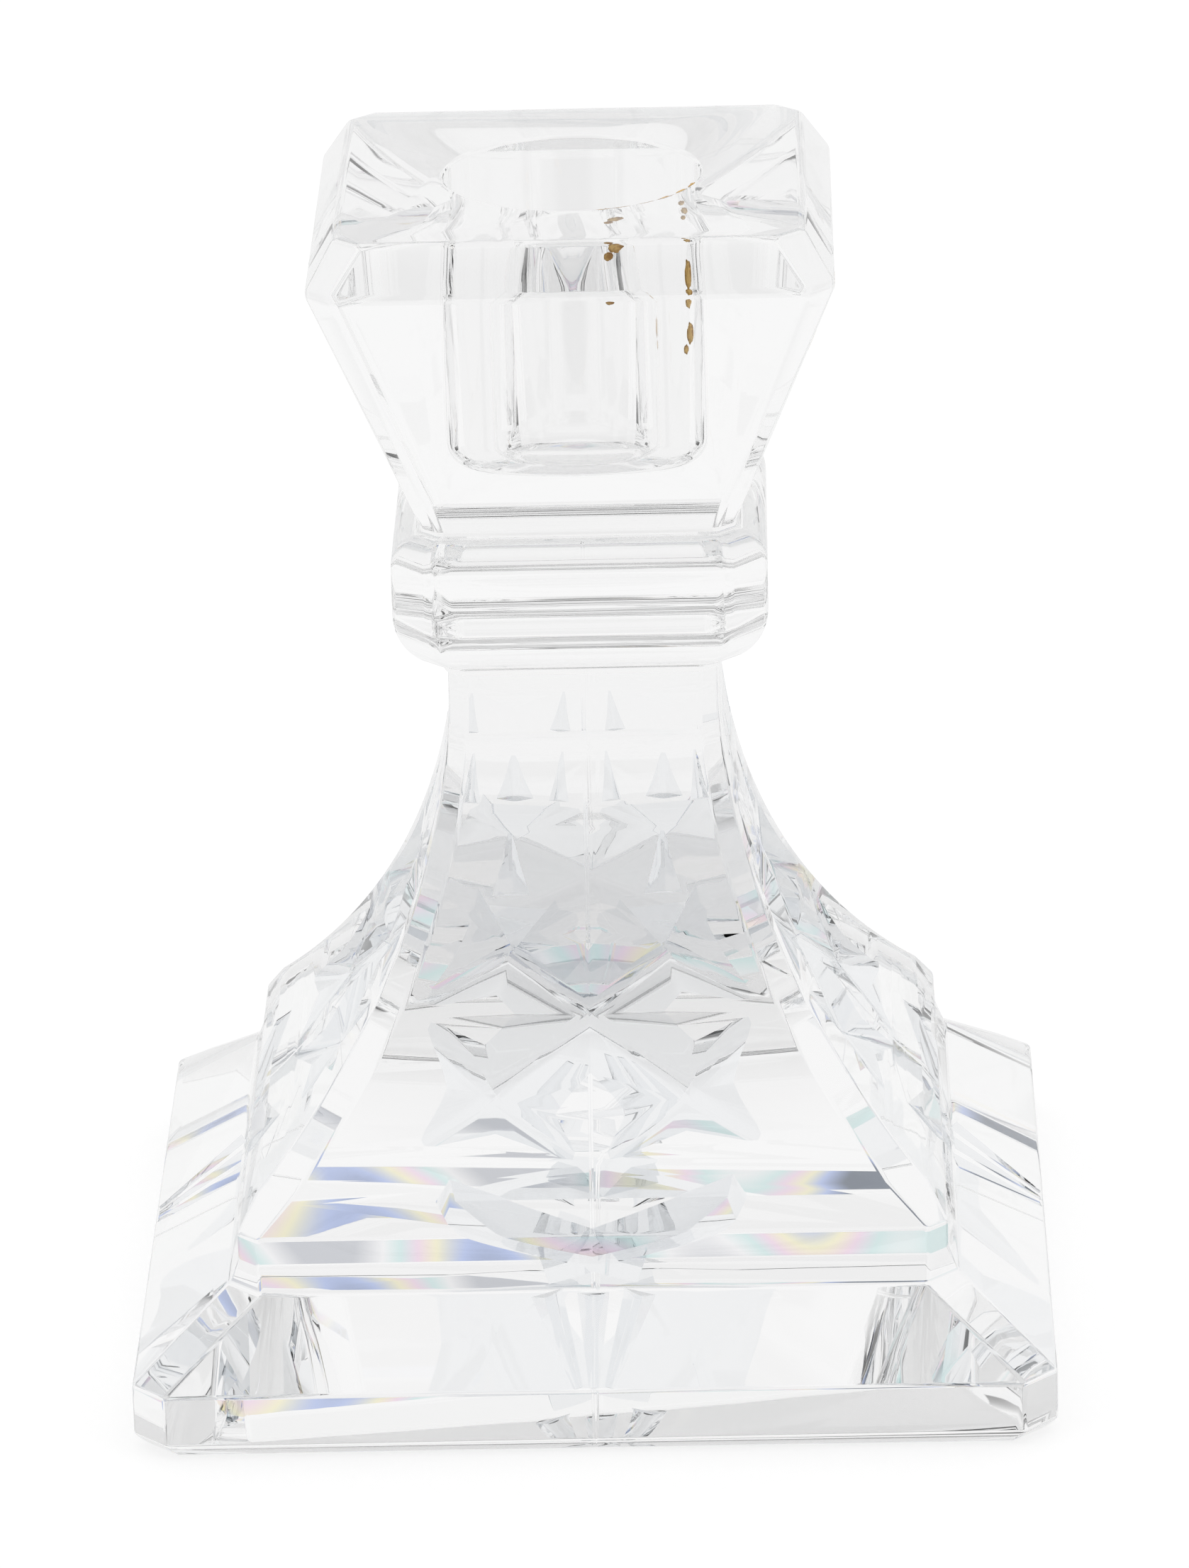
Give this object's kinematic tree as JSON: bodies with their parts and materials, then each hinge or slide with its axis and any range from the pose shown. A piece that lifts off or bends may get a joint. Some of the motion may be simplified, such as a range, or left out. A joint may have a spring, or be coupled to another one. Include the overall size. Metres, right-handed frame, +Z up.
{
  "type": "glass candlestick",
  "caption": "Square cut-crystal candlestick: stepped foot with four concave lattice-cut sides, and a flared cup with a round blind socket for a dinner candle.",
  "frame": {"origin": "centre of the flat underside of the plinth, on the candlestick's axis", "axes": "+Z up along the axis, out of the candle socket; +X and +Y square to the sides of the plinth"},
  "size_m": [0.083, 0.083, 0.1071],
  "materials": {
    "crystal_foot": "clear, fire-polished, with wheel-cut grooves",
    "crystal_cup": "clear, fire-polished"
  },
  "bodies": {
    "root": {"foot": "crystal_foot", "candle_cup": "crystal_cup"}
  },
  "joints": []
}
